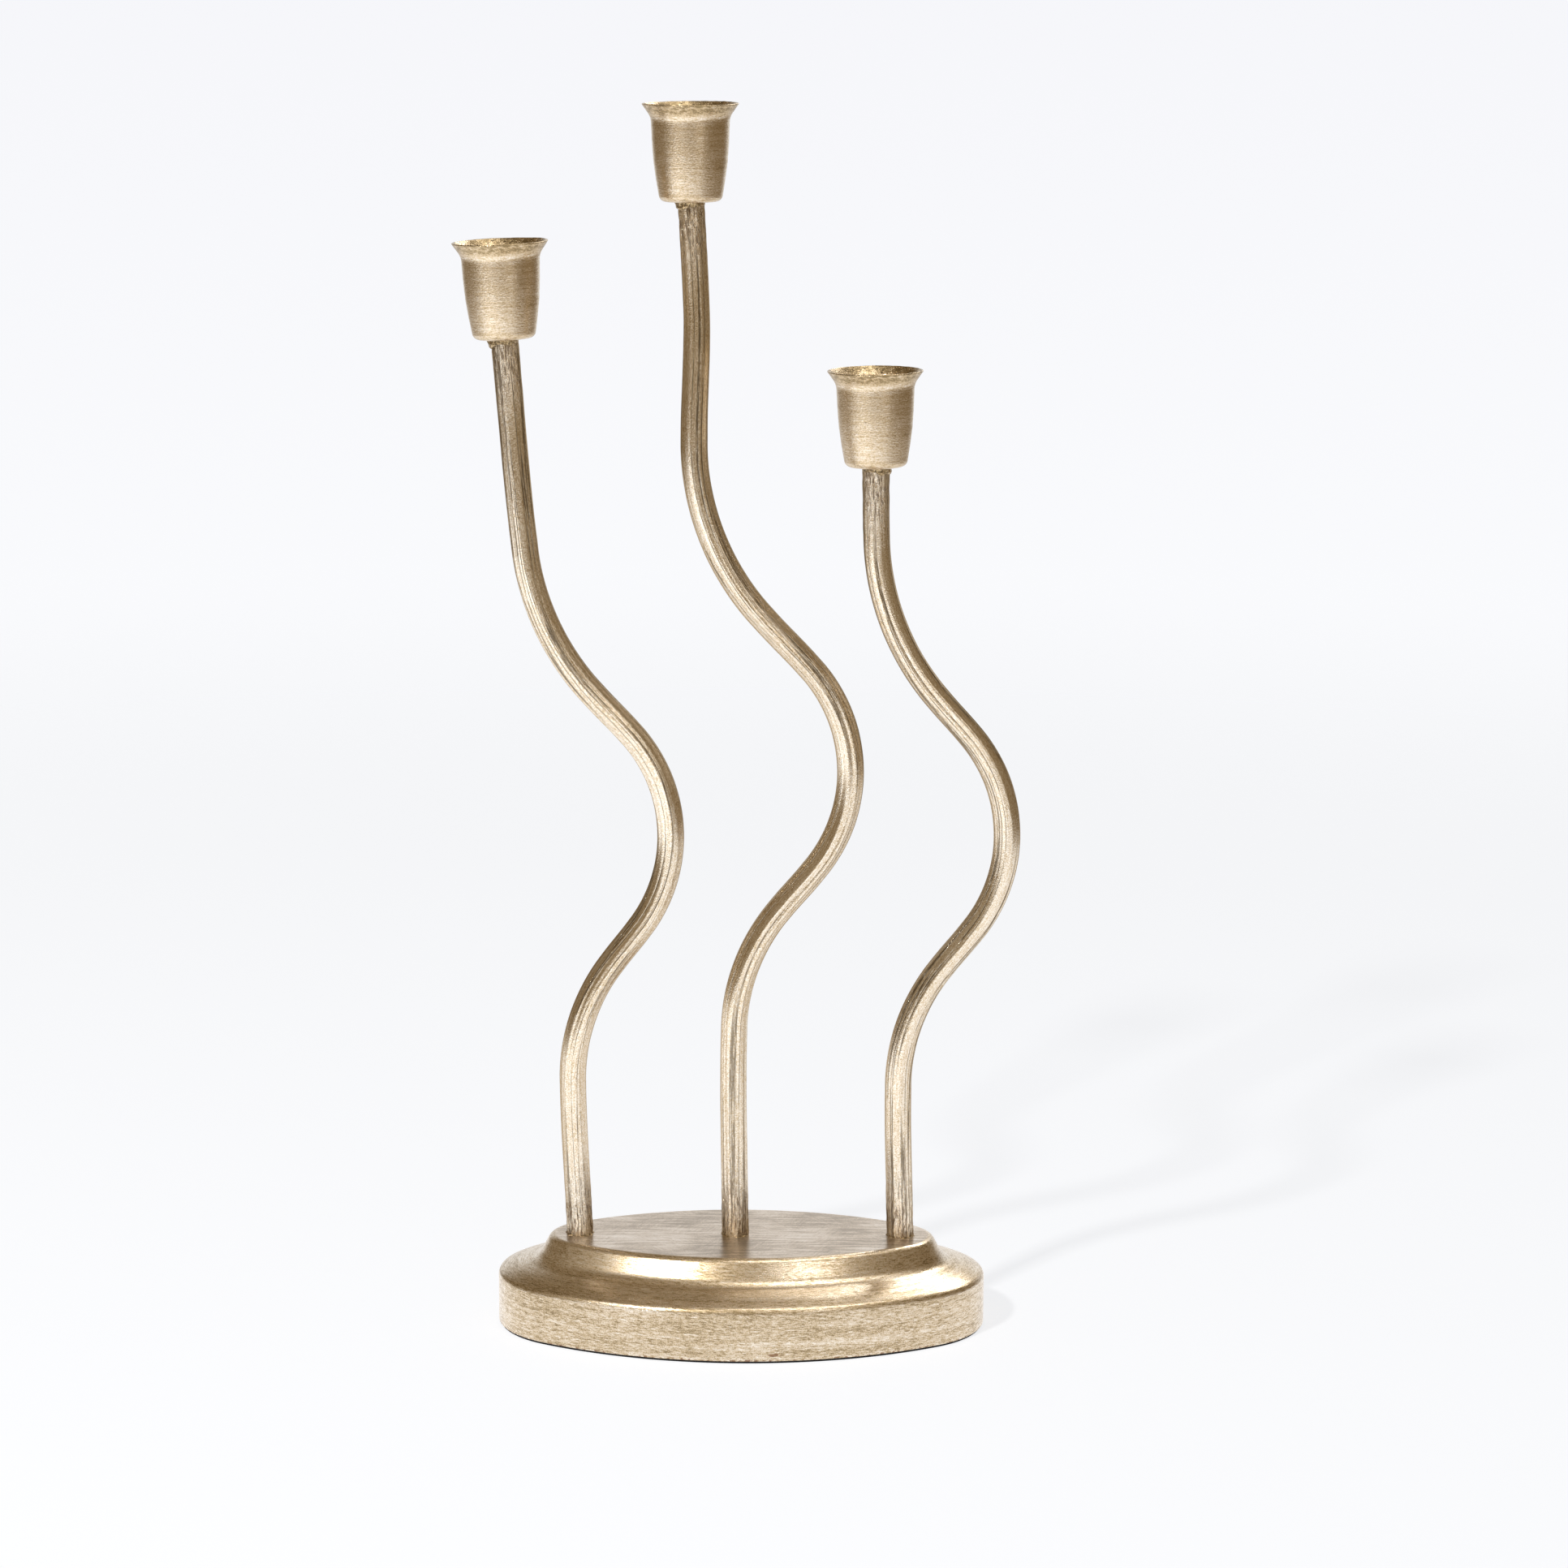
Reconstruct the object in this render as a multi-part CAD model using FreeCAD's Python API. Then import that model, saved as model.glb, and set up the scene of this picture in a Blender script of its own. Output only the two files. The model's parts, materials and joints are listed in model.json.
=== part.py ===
import FreeCAD, Part
import math
import os

# A free-standing candle holder: three wavy round stems stand in an oval moulded plinth and each
# carries a spun cup for a taper candle. Millimetres, +Z up, X along the plinth's long axis.
# The origin is on the ground, under the middle of the plinth.

# Plinth outline: an oval of four arcs, two round the ends and two along the sides.
PLINTH_LENGTH = 176.0
PLINTH_WIDTH = 102.0
END_RADIUS = 36.0

# Plinth edge, from the ground up: skirt, shoulder, falling shelf, cove, riser, flat top.
SKIRT_HEIGHT = 18.2
SHOULDER_RUN = 5.5
SHOULDER_RISE = 2.5
SHELF_RUN = 9.0
SHELF_RISE = 2.3
RISER_RUN = 4.5
RISER_RISE = 8.4
BOTTOM_ROUND = 0.6
SHOULDER_ROUND = 2.6
SHELF_ROUND = 16.0
COVE_ROUND = 6.5
TOP_ROUND = 3.2

# Felt under the plinth.
FELT_THICKNESS = 1.2
FELT_INSET = 0.9

# Stems: plain round rod, bent on formers that the stems share.
STEM_DIAMETER = 9.5
LEFT_END_MARGIN = 10.4
RIGHT_END_MARGIN = 11.6
MIDDLE_FOOT_X = -2.4
SOCKET_DEPTH = 12.0
SOCKET_CLEARANCE = 0.1
FOOT_BEND_RADIUS = 60.0
LOWER_BEND_RADIUS = 71.0
BULGE_BEND_RADIUS = 56.0
UPPER_BEND_RADIUS = 92.0
NECK_BEND_RADIUS = 200.0

# Bending cards, from the plinth up: straight runs, and the turn in degrees before each run,
# positive towards +X.
LEFT_TURNS = (-2.5, 40.0, -81.0, 38.3)
LEFT_RUNS = (52.0, 14.5, 17.0, 71.5)
MIDDLE_TURNS = (-0.7, 40.8, -83.7, 45.0, -4.6)
MIDDLE_RUNS = (73.5, 17.5, 22.0, 31.5, 33.5)
RIGHT_TURNS = (-1.5, 40.3, -80.4, 40.5)
RIGHT_RUNS = (52.5, 15.5, 15.5, 24.0)

# How far each cup leans from upright, in degrees, positive towards +X.
LEFT_CUP_LEAN = -2.5
MIDDLE_CUP_LEAN = -0.5
RIGHT_CUP_LEAN = -1.0

# Spun cup: radii and heights of its outside, from the foot to the lip.
CUP_WALL = 1.0
CUP_FOOT_RADIUS = 10.8
CUP_BELLY_RADIUS = 13.1
CUP_BELLY_HEIGHT = 14.0
CUP_THROAT_RADIUS = 13.75
CUP_THROAT_HEIGHT = 29.0
CUP_LIP_RADIUS = 17.0
CUP_HEIGHT = 33.8
CUP_FOOT_ROUND = 2.4
CUP_BELLY_ROUND = 100.0
CUP_THROAT_ROUND = 6.0
CUP_LIP_ROUND = 0.4

# Bead of braze between a stem and its cup.
BRAZE_REACH = 1.7
BRAZE_EDGE = 0.6
BRAZE_TOE = 0.3
BRAZE_DROP = 2.6

# Fixing from below: a button-head screw and a wide washer in a counterbore, one per stem.
SCREW_DIAMETER = 6.0
SCREW_ENGAGEMENT = 12.0
SCREW_HEAD_DIAMETER = 10.5
SCREW_HEAD_HEIGHT = 3.3
SCREW_HEAD_ROUND = 1.6
SCREW_KEY_ACROSS_FLATS = 4.0
SCREW_KEY_DEPTH = 2.0
SCREW_HEAD_CLEARANCE = 3.0
SCREW_HOLE_CLEARANCE = 0.3
THREAD_CLEARANCE = 0.05
TAPPED_RUNOUT = 3.0
WASHER_DIAMETER = 18.0
WASHER_THICKNESS = 1.6
WASHER_CLEARANCE = 1.0

UP = FreeCAD.Vector(0, 0, 1)
LEAN_AXIS = FreeCAD.Vector(0, 1, 0)
CENTRE = FreeCAD.Vector(0, 0, 0)

half_length = PLINTH_LENGTH / 2
half_width = PLINTH_WIDTH / 2
stem_radius = STEM_DIAMETER / 2
screw_radius = SCREW_DIAMETER / 2
plateau_inset = SHOULDER_RUN + SHELF_RUN + RISER_RUN
shoulder_z = FELT_THICKNESS + SKIRT_HEIGHT
shelf_z = shoulder_z + SHOULDER_RISE
cove_z = shelf_z + SHELF_RISE
plateau_z = cove_z + RISER_RISE
socket_floor_z = plateau_z - SOCKET_DEPTH
counterbore_depth = WASHER_THICKNESS + SCREW_HEAD_HEIGHT + SCREW_HEAD_CLEARANCE
washer_seat_z = FELT_THICKNESS + counterbore_depth
plateau_end_x = half_length - plateau_inset
left_foot_x = LEFT_END_MARGIN - plateau_end_x
right_foot_x = plateau_end_x - RIGHT_END_MARGIN


def rounded_wire(points, rounds, closed=False):
    """A wire through the corner points, each corner rounded by an arc of its own radius."""
    count = len(points)
    arcs = {}
    starts, ends = list(points), list(points)
    for i in range(count):
        if rounds[i] == 0:
            continue
        corner = points[i]
        back = (points[i - 1] - corner).normalize()
        ahead = (points[(i + 1) % count] - corner).normalize()
        half_angle = back.getAngle(ahead) / 2
        reach = rounds[i] / math.tan(half_angle)
        sagitta = rounds[i] / math.sin(half_angle) - rounds[i]
        starts[i] = corner + back * reach
        ends[i] = corner + ahead * reach
        middle = corner + (back + ahead).normalize() * sagitta
        arcs[i] = Part.Arc(starts[i], middle, ends[i]).toShape()
    edges = []
    last = count if closed else count - 1
    for i in range(count):
        if i in arcs:
            edges.append(arcs[i])
        if i < last:
            edges.append(Part.LineSegment(ends[i], starts[(i + 1) % count]).toShape())
    return Part.Wire(edges)


def oval_arcs():
    """The plinth outline's four arcs as (centre, radius, start angle, swept angle), in radians."""
    end_offset = half_length - END_RADIUS
    side_radius = (half_length ** 2 - 2 * half_length * END_RADIUS + half_width ** 2) / (
        2 * (half_width - END_RADIUS))
    side_offset = side_radius - half_width
    turn = math.atan2(side_offset, end_offset)
    end_sweep = 2 * turn
    side_sweep = math.pi - 2 * turn
    return [
        (FreeCAD.Vector(end_offset, 0, 0), END_RADIUS, -turn, end_sweep),
        (FreeCAD.Vector(0, -side_offset, 0), side_radius, turn, side_sweep),
        (FreeCAD.Vector(-end_offset, 0, 0), END_RADIUS, math.pi - turn, end_sweep),
        (FreeCAD.Vector(0, side_offset, 0), side_radius, math.pi + turn, side_sweep),
    ]


def polar(centre, radius, angle, z):
    return centre + FreeCAD.Vector(radius * math.cos(angle), radius * math.sin(angle), z)


def oval_face(inset, z):
    """A flat oval face, set in from the plinth's outline."""
    edges = []
    for centre, radius, start, sweep in oval_arcs():
        angles = (start, start + sweep / 2, start + sweep)
        edges.append(Part.Arc(*[polar(centre, radius - inset, angle, z) for angle in angles]).toShape())
    return Part.Face(Part.Wire(edges))


def make_plinth():
    """The oval plinth: its edge profile turned round each arc, closed by two flat faces, then drilled."""
    flat_margin = 2 * max(TOP_ROUND, BOTTOM_ROUND)
    edge_profile = [
        (plateau_inset + flat_margin, plateau_z, 0),
        (plateau_inset, plateau_z, TOP_ROUND),
        (plateau_inset - RISER_RUN, cove_z, COVE_ROUND),
        (SHOULDER_RUN, shelf_z, SHELF_ROUND),
        (0, shoulder_z, SHOULDER_ROUND),
        (0, FELT_THICKNESS, BOTTOM_ROUND),
        (flat_margin, FELT_THICKNESS, 0),
    ]
    rounds = [corner_round for _, _, corner_round in edge_profile]
    faces = [oval_face(plateau_inset + flat_margin, plateau_z), oval_face(flat_margin, FELT_THICKNESS)]
    for centre, radius, start, sweep in oval_arcs():
        points = [polar(centre, radius - inset, start, z) for inset, z, _ in edge_profile]
        profile = rounded_wire(points, rounds)
        faces += profile.revolve(centre, UP, math.degrees(sweep)).Faces
    shell = Part.makeShell(faces)
    shell.sewShape()
    plinth = Part.makeSolid(shell).removeSplitter()
    for foot_x in (left_foot_x, MIDDLE_FOOT_X, right_foot_x):
        ground = FreeCAD.Vector(foot_x, 0, FELT_THICKNESS)
        floor = FreeCAD.Vector(foot_x, 0, socket_floor_z)
        socket = Part.makeCylinder(stem_radius + SOCKET_CLEARANCE, plateau_z, floor)
        screw_hole = Part.makeCylinder(screw_radius + SCREW_HOLE_CLEARANCE, plateau_z, ground)
        counterbore = Part.makeCylinder(WASHER_DIAMETER / 2 + WASHER_CLEARANCE, counterbore_depth, ground)
        plinth = plinth.cut(socket).cut(screw_hole).cut(counterbore)
    return plinth


def make_felt():
    return oval_face(FELT_INSET, 0).extrude(UP * FELT_THICKNESS)


def heading(lean):
    """Unit vector that leans from upright by an angle in degrees, positive towards +X."""
    angle = math.radians(lean)
    return FreeCAD.Vector(math.sin(angle), 0, math.cos(angle))


def bent_path(start, runs, turns, radii):
    """Edges of straight runs with a tangent bend before every run but the first."""
    edges = []
    point, lean = start, 0.0
    for run, turn, radius in zip(runs, turns, radii):
        after = point + heading(lean) * run
        edges.append(Part.LineSegment(point, after).toShape())
        point = after
        if turn:
            side = math.copysign(1.0, turn)
            centre = point + heading(lean + 90 * side) * radius
            middle = centre - heading(lean + turn / 2 + 90 * side) * radius
            end = centre - heading(lean + turn + 90 * side) * radius
            edges.append(Part.Arc(point, middle, end).toShape())
            point, lean = end, lean + turn
    return edges, point, lean


def make_stem(foot_x, runs, turns, cup_lean):
    """A bent rod, tapped at its lower end and cut at the top to the cup's seat. Returns it and the seat."""
    foot = FreeCAD.Vector(foot_x, 0, socket_floor_z)
    formers = [FOOT_BEND_RADIUS, LOWER_BEND_RADIUS, BULGE_BEND_RADIUS, UPPER_BEND_RADIUS, NECK_BEND_RADIUS]
    all_runs = (SOCKET_DEPTH,) + runs
    edges, seat, lean = bent_path(foot, all_runs, turns + (0,), formers[:len(turns)] + [0])
    spare = seat + heading(lean) * STEM_DIAMETER
    edges[-1] = Part.LineSegment(edges[-1].firstVertex().Point, spare).toShape()
    path = Part.Wire(edges)
    section = Part.Wire([Part.Circle(foot, UP, stem_radius).toShape()])
    rod = path.makePipeShell([section], True, False)
    expected = math.pi * stem_radius ** 2 * path.Length
    print("rod volume over section times length: %.5f" % (rod.Volume / expected))
    offcut_size = 2 * STEM_DIAMETER
    offcut = Part.makeCylinder(offcut_size, offcut_size, seat, heading(cup_lean))
    tapped = Part.makeCylinder(screw_radius + THREAD_CLEARANCE, SCREW_ENGAGEMENT + TAPPED_RUNOUT, foot)
    return rod.cut(offcut).cut(tapped), seat


def inner_corners(corners, wall):
    """Corners (radius, height, round) of a wall's inner face, from those of its outer face."""
    inner = []
    directions = []
    for (r0, z0, _), (r1, z1, _) in zip(corners, corners[1:]):
        length = math.hypot(r1 - r0, z1 - z0)
        directions.append(((r1 - r0) / length, (z1 - z0) / length))
    for i, (r, z, outer_round) in enumerate(corners):
        before = directions[max(i - 1, 0)]
        after = directions[min(i, len(directions) - 1)]
        share = wall / (1 + before[0] * after[0] + before[1] * after[1])
        turn = before[0] * after[1] - before[1] * after[0]
        inner_round = outer_round - math.copysign(wall, turn) if turn else 0
        inner.append((r - share * (before[1] + after[1]), z + share * (before[0] + after[0]), inner_round))
    return inner


def make_cup(seat, lean):
    """A spun cup of even wall with a rounded, flared lip, standing on its seat."""
    outer = [
        (0, 0, 0),
        (CUP_FOOT_RADIUS, 0, CUP_FOOT_ROUND),
        (CUP_BELLY_RADIUS, CUP_BELLY_HEIGHT, CUP_BELLY_ROUND),
        (CUP_THROAT_RADIUS, CUP_THROAT_HEIGHT, CUP_THROAT_ROUND),
        (CUP_LIP_RADIUS, CUP_HEIGHT, 0),
    ]
    inner = inner_corners(outer, CUP_WALL)
    corners = outer + inner[::-1]
    points = [FreeCAD.Vector(r, 0, z) for r, z, _ in corners]
    rounds = [corner_round for _, _, corner_round in corners]
    lip_round = min(CUP_LIP_ROUND, 0.45 * CUP_WALL)
    rounds[len(outer) - 1] = lip_round
    rounds[len(outer)] = lip_round
    cup = Part.Face(rounded_wire(points, rounds, closed=True)).revolve(CENTRE, UP, 360)
    return set_on_seat(cup, seat, lean)


def set_on_seat(shape, seat, lean):
    shape.rotate(CENTRE, LEAN_AXIS, lean)
    shape.translate(seat)
    return shape


def make_braze(stem, seat, lean):
    """The bead round a stem's top end, against the underside of its cup."""
    points = [
        FreeCAD.Vector(0, 0, 0),
        FreeCAD.Vector(stem_radius + BRAZE_REACH, 0, 0),
        FreeCAD.Vector(stem_radius + BRAZE_REACH, 0, -BRAZE_EDGE),
        FreeCAD.Vector(stem_radius + BRAZE_TOE, 0, -BRAZE_DROP),
        FreeCAD.Vector(0, 0, -BRAZE_DROP),
    ]
    bead = Part.Face(Part.makePolygon(points + points[:1])).revolve(CENTRE, UP, 360)
    return set_on_seat(bead, seat, lean).cut(stem)


def make_washer(foot_x):
    under = FreeCAD.Vector(foot_x, 0, washer_seat_z - WASHER_THICKNESS)
    disc = Part.makeCylinder(WASHER_DIAMETER / 2, WASHER_THICKNESS, under)
    hole = Part.makeCylinder(screw_radius + SCREW_HOLE_CLEARANCE, WASHER_THICKNESS, under)
    return disc.cut(hole)


def make_screw(foot_x):
    """A button-head screw, head down, with a hexagon key socket."""
    head_top_z = washer_seat_z - WASHER_THICKNESS
    head_base = FreeCAD.Vector(foot_x, 0, head_top_z - SCREW_HEAD_HEIGHT)
    rim = FreeCAD.Vector(SCREW_HEAD_DIAMETER / 2, 0, 0)
    rise = UP * SCREW_HEAD_HEIGHT
    corners = [head_base, head_base + rim, head_base + rim + rise, head_base + rise]
    outline = rounded_wire(corners, [0, SCREW_HEAD_ROUND, 0, 0], closed=True)
    head = Part.Face(outline).revolve(head_base, UP, 360)
    key_radius = SCREW_KEY_ACROSS_FLATS / math.sqrt(3)
    flats = [polar(head_base, key_radius, math.radians(60 * i), 0) for i in range(6)]
    key = Part.Face(Part.makePolygon(flats + flats[:1])).extrude(UP * SCREW_KEY_DEPTH)
    length = socket_floor_z + SCREW_ENGAGEMENT - head_top_z
    shank = Part.makeCylinder(screw_radius, length, FreeCAD.Vector(foot_x, 0, head_top_z))
    return head.cut(key).fuse(shank).removeSplitter()


def make_parts():
    arms = {
        "left": (left_foot_x, LEFT_RUNS, LEFT_TURNS, LEFT_CUP_LEAN),
        "middle": (MIDDLE_FOOT_X, MIDDLE_RUNS, MIDDLE_TURNS, MIDDLE_CUP_LEAN),
        "right": (right_foot_x, RIGHT_RUNS, RIGHT_TURNS, RIGHT_CUP_LEAN),
    }
    parts = {"base_plinth": make_plinth(), "felt_pad": make_felt()}
    for side, (foot_x, runs, turns, cup_lean) in arms.items():
        stem, seat = make_stem(foot_x, runs, turns, cup_lean)
        print("%s cup seat: x %.2f z %.2f" % (side, seat.x, seat.z))
        parts[side + "_stem"] = stem
        parts[side + "_cup"] = make_cup(seat, cup_lean)
        parts[side + "_cup_braze"] = make_braze(stem, seat, cup_lean)
        parts[side + "_washer"] = make_washer(foot_x)
        parts[side + "_screw"] = make_screw(foot_x)
    return parts


os.makedirs("parts", exist_ok=True)
for name, shape in make_parts().items():
    box = shape.BoundBox
    print("%-20s valid %s solids %d volume %.1f  x %.2f..%.2f  y %.2f..%.2f  z %.2f..%.2f" % (
        name, shape.isValid(), len(shape.Solids), shape.Volume,
        box.XMin, box.XMax, box.YMin, box.YMax, box.ZMin, box.ZMax))
    shape.exportStep("parts/" + name + ".step")
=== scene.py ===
# %% [markdown]
# # A candle holder with three wavy stems
# This lesson dresses a finished construction model. Every piece is already there at its real size, so
# Blender adds what the eye reads: brushed antique gold, lumpy brazed joints, felt, and studio light.
# The first cell loads the model and keeps its box, at which the lamps aim. The dressed object must stay
# the same size.

# %% Load the construction model
import json
import math
import bpy
import numpy as np
from mathutils import Matrix, Vector, noise


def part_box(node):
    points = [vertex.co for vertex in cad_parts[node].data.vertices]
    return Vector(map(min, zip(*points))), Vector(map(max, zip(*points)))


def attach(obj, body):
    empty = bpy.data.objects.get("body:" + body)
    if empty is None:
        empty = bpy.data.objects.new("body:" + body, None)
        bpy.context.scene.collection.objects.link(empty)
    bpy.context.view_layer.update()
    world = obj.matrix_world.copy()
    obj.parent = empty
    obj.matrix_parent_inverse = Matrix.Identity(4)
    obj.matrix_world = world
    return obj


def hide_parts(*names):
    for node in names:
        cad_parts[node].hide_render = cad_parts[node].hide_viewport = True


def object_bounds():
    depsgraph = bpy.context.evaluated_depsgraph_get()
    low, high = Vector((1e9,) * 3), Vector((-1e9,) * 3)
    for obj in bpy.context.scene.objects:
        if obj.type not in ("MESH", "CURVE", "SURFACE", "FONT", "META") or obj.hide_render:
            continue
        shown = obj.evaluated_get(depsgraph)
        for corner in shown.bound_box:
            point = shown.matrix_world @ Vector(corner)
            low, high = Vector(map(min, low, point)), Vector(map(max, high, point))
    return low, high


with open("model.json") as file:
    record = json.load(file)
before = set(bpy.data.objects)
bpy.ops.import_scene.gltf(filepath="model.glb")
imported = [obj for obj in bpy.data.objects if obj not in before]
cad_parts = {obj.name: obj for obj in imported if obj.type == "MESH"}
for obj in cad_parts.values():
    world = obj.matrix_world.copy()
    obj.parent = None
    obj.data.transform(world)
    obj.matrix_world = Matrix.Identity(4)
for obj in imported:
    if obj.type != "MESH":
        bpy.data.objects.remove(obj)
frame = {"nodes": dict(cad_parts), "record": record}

bpy.context.view_layer.update()
cad_low, cad_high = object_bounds()
SIDES = ("left", "middle", "right")
MM = 0.001
print("nodes:", len(frame["nodes"]), "box in mm:", [round(1000 * side) for side in cad_high - cad_low])

# %% [markdown]
# ## The camera
# The rims and the plinth are circles and ovals, so how flat they look gives the camera's tilt, and how
# much the far cups shrink gives its distance. A long lens from a little above matches all of them. The
# camera also rolls by a fraction of a degree, as a hand-levelled tripod does.

# %% Place the camera
PICTURE_SIDE = 1932
FOCAL_PIXELS = 5600
SENSOR = 36.0
CAMERA_PLACE = (0.0142, -1.58464, 0.50806)
CAMERA_PITCH = math.radians(11.05)
CAMERA_ROLL = math.radians(0.4)

lens = bpy.data.cameras.new("studio_camera")
lens.sensor_width = SENSOR
lens.lens = SENSOR * FOCAL_PIXELS / PICTURE_SIDE
camera = bpy.data.objects.new("studio_camera", lens)
bpy.context.scene.collection.objects.link(camera)
camera.matrix_world = (Matrix.Translation(CAMERA_PLACE)
                       @ Matrix.Rotation(math.pi / 2 - CAMERA_PITCH, 4, "X")
                       @ Matrix.Rotation(CAMERA_ROLL, 4, "Z"))
bpy.context.scene.camera = camera
print("lens in mm:", round(lens.lens, 1))

# %% [markdown]
# ## Shader maths as plain expressions
# A finish is a small formula: streaks times wear plus grain. Wiring that by hand takes many nodes, so a
# tiny class wraps one socket, and Python's own operators add the Math nodes. Anything that isn't
# arithmetic comes from one method, which takes the node's type, its settings and its sockets.


# %% One class for all the shader maths
class Signal:
    """One socket of a node tree. Arithmetic on it adds Math nodes."""

    def __init__(self, tree, socket=None):
        self.tree = tree
        self.socket = socket

    def node(self, kind, settings, sockets, output=0):
        made = self.tree.nodes.new("ShaderNode" + kind)
        for name, value in settings.items():
            setattr(made, name, value)
        for key, value in sockets.items():
            if isinstance(value, Signal):
                self.tree.links.new(value.socket, made.inputs[key])
            else:
                made.inputs[key].default_value = value
        return Signal(self.tree, made.outputs[output])

    def into(self, name, socket):
        """Links this signal to a socket of a node that the tree already has."""
        self.tree.links.new(self.socket, self.tree.nodes[name].inputs[socket])

    def math(self, operation, *values):
        return self.node("Math", {"operation": operation}, dict(enumerate(values)))

    def __add__(self, other):
        return self.math("ADD", self, other)

    def __radd__(self, other):
        return self.math("ADD", other, self)

    def __sub__(self, other):
        return self.math("SUBTRACT", self, other)

    def __rsub__(self, other):
        return self.math("SUBTRACT", other, self)

    def __mul__(self, other):
        return self.math("MULTIPLY", self, other)

    def __rmul__(self, other):
        return self.math("MULTIPLY", other, self)

    def __truediv__(self, other):
        return self.math("DIVIDE", self, other)

    def __pow__(self, other):
        return self.math("POWER", self, other)

    def ramp(self, low, high):
        """0 below low, 1 above high and smooth between them."""
        return self.node("MapRange", {"interpolation_type": "SMOOTHSTEP"},
                         {"Value": self, "From Min": low, "From Max": high})

    def stretch(self, x, y, z):
        """A vector with each of its axes scaled."""
        return self.vector("MULTIPLY", (x, y, z))

    def noise(self, scale, detail=2.0, roughness=0.5, distortion=0.0):
        """Cloudy values around 0.5, read at this vector."""
        return self.node("TexNoise", {}, {"Vector": self, "Scale": scale, "Detail": detail,
                                          "Roughness": roughness, "Distortion": distortion})

    def tint(self, low, high):
        """A colour between two others, by this value as the share of the second."""
        return self.node("Mix", {"data_type": "RGBA"}, {0: self, 6: low, 7: high}, output=2)

    def vector(self, operation, other=(0, 0, 0), output="Vector"):
        return self.node("VectorMath", {"operation": operation}, {0: self, 1: other}, output)

    def parts(self):
        """The three numbers of a vector."""
        split = self.node("SeparateXYZ", {}, {0: self})
        return [Signal(self.tree, socket) for socket in split.socket.node.outputs]

    def bump(self, distance, strength=1.0):
        """A surface normal tilted by this height, in shares of a distance in metres."""
        return self.node("Bump", {}, {"Height": self, "Distance": distance, "Strength": strength})


print("shader maths ready")


# %% Helpers for finishes
def colour(red, green, blue):
    return (red, green, blue, 1.0)


def grey(level):
    return colour(level, level, level)


def socket_name(key):
    """A socket's name as Blender spells it, from a Python name."""
    return key.replace("_", " ").title().replace("Ior", "IOR")


def new_finish(name, **constants):
    """A material with its principled shader's fixed sockets set. Returns it and a first signal."""
    material = bpy.data.materials.new(name)
    material.use_nodes = True
    shader = material.node_tree.nodes["Principled BSDF"]
    for key, value in constants.items():
        shader.inputs[socket_name(key)].default_value = value
    return material, Signal(material.node_tree)


def feed(**signals):
    """Links signals to the principled shader's sockets by name."""
    for key, signal in signals.items():
        signal.into("Principled BSDF", socket_name(key))


def ray_kinds(start):
    """Three switches: for what the camera sees straight, in a mirror and through glass."""
    rays = start.node("LightPath", {}, {}).socket.node.outputs
    names = ("Is Camera Ray", "Is Glossy Ray", "Is Transmission Ray")
    return [Signal(start.tree, rays[name]) for name in names]


IN_MM = (1000, 1000, 1000)


def place_in_mm(start):
    """The place on the object, in millimetres."""
    return start.node("TexCoord", {}, {}, output="Object").stretch(*IN_MM)


def mark_in_mm(start, mark):
    """A place that each vertex remembers, in millimetres."""
    return start.node("Attribute", {"attribute_name": mark}, {}, output="Vector").stretch(*IN_MM)


def length_in_mm(start, mark):
    """A length that each vertex remembers, in millimetres."""
    return start.node("Attribute", {"attribute_name": mark}, {}, output="Fac") * IN_MM[0]


print("finish helpers ready")

# %% [markdown]
# ## Floor and surroundings
# The object stands on a white sweep of paper. A wall mesh would hide the object from behind, so the wall
# is the world itself and the floor is a disc that fades into it. Both look white to the camera. Part of
# the floor's light is its own, so that it reads as white, and the rest is real, so that it keeps the
# object's shadow. The metal sees more of the room than the camera does, and in the metal the floor shows
# only painted light: a painted pool of light under the main lamp on paper that lies a little to the left
# and ends over a metre in front of the object, and a dim, warm room painted beyond it. That is why the
# tall cup looks darker than the low ones although all three have one finish.

# %% Make the floor
FLOOR_RADIUS = 2.4
FLOOR_POINTS = 96
FLOOR_DROP = 0.05 * MM

floor_mesh = bpy.data.meshes.new("floor")
floor_ring = [2 * math.pi * i / FLOOR_POINTS for i in range(FLOOR_POINTS)]
floor_edge = [(FLOOR_RADIUS * math.cos(a), FLOOR_RADIUS * math.sin(a), -FLOOR_DROP) for a in floor_ring]
floor_mesh.from_pydata(floor_edge, [], [list(range(FLOOR_POINTS))])
floor = bpy.data.objects.new("floor", floor_mesh)
bpy.context.scene.collection.objects.link(floor)
print("floor disc of radius", FLOOR_RADIUS, "m")

# %% Finish the floor
FLOOR_FADE = (0.75, 1.9)
FLOOR_SHADE = 0.36
FRONT_START = (-0.6, 0.0)
PAPER_SIDE = (0.75, 1.30)
PAPER_FRONT = (1.00, 1.40)
PAPER_SHIFT = (0.10, 0.20)
ROOM_SIDE = (0.6, 1.4)
ROOM_FRONT = (0.8, 1.4)
KEY_PLACE = Vector((-0.98, -1.525, 1.65))
KEY_SHARE = 0.65
KEY_FALL = 3
BRIGHTEST = 3.0
paper = colour(0.86, 0.865, 0.875)
paper_glow = colour(0.777, 0.784, 0.800)
cool_white = colour(0.95, 0.98, 1.04)
dim_room = colour(0.25, 0.185, 0.11)
front_room = colour(0.34, 0.27, 0.18)

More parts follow.
